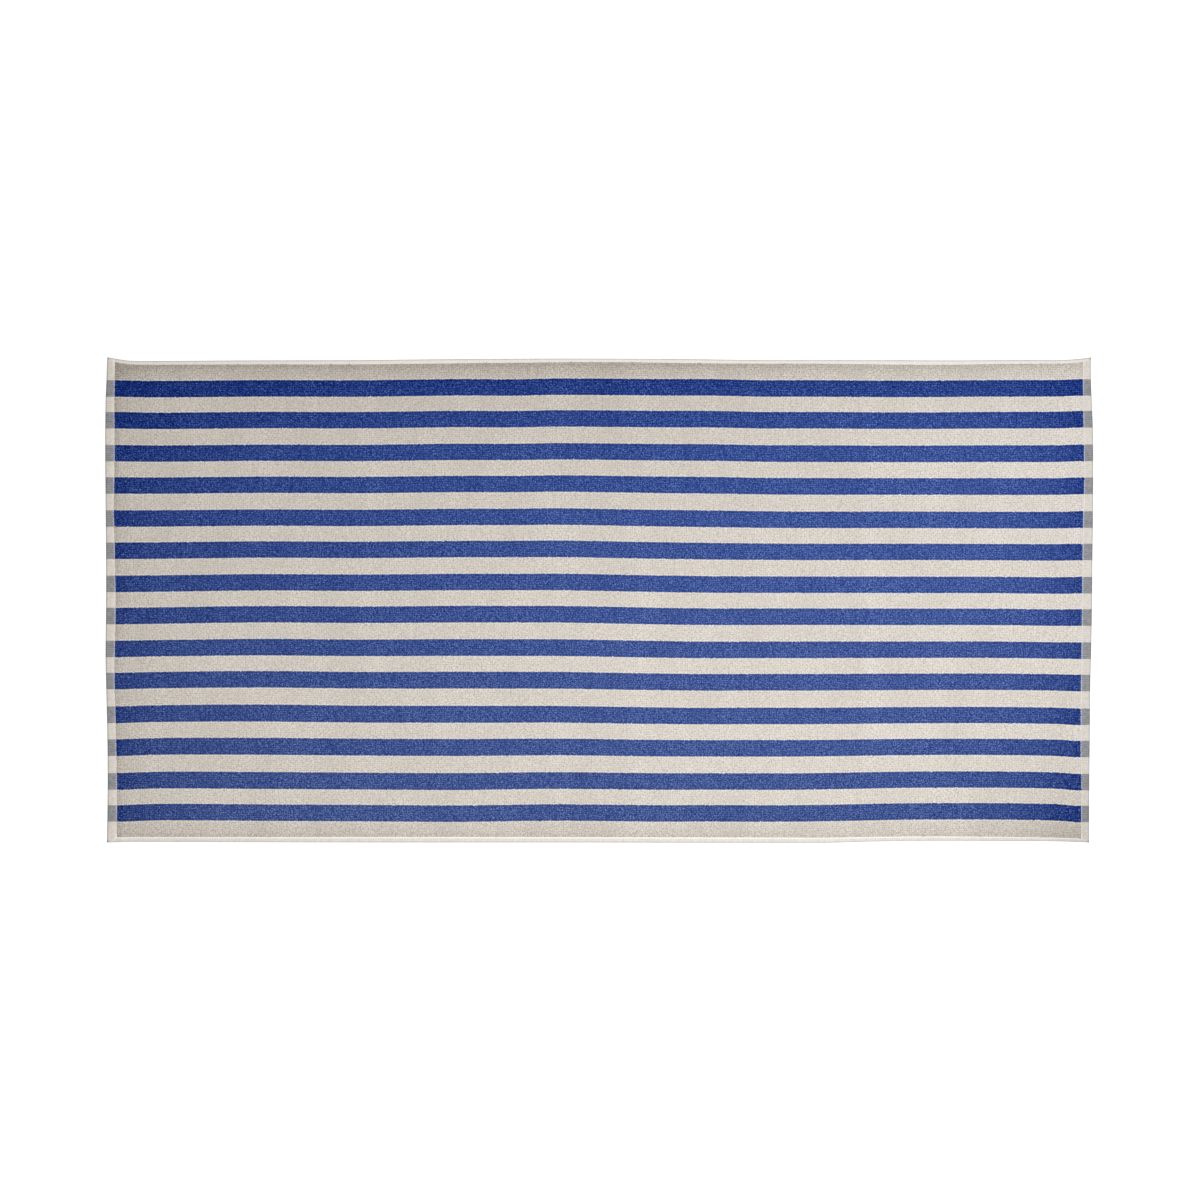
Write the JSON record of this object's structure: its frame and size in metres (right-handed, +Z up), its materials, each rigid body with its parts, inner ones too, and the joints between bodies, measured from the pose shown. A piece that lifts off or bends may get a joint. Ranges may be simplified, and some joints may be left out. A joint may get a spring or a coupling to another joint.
{
  "type": "bath towel",
  "caption": "Striped terry bath towel spread out flat, with blue and ecru stripes along its length and flat woven hems across both ends.",
  "frame": {"origin": "on the surface that the towel lies on, under the middle of the towel", "axes": "+X along the towel and its stripes, +Y across the towel, +Z up out of the cloth"},
  "size_m": [1.4, 0.6881, 0.0049],
  "materials": {
    "ecru_terry": "cotton loop pile, ecru, matt",
    "blue_terry": "cotton loop pile, dyed blue, matt",
    "woven_hem": "flat cotton weave, off-white and grey blocks, matt"
  },
  "bodies": {
    "root": {"towel": "ecru_terry"}
  },
  "joints": []
}
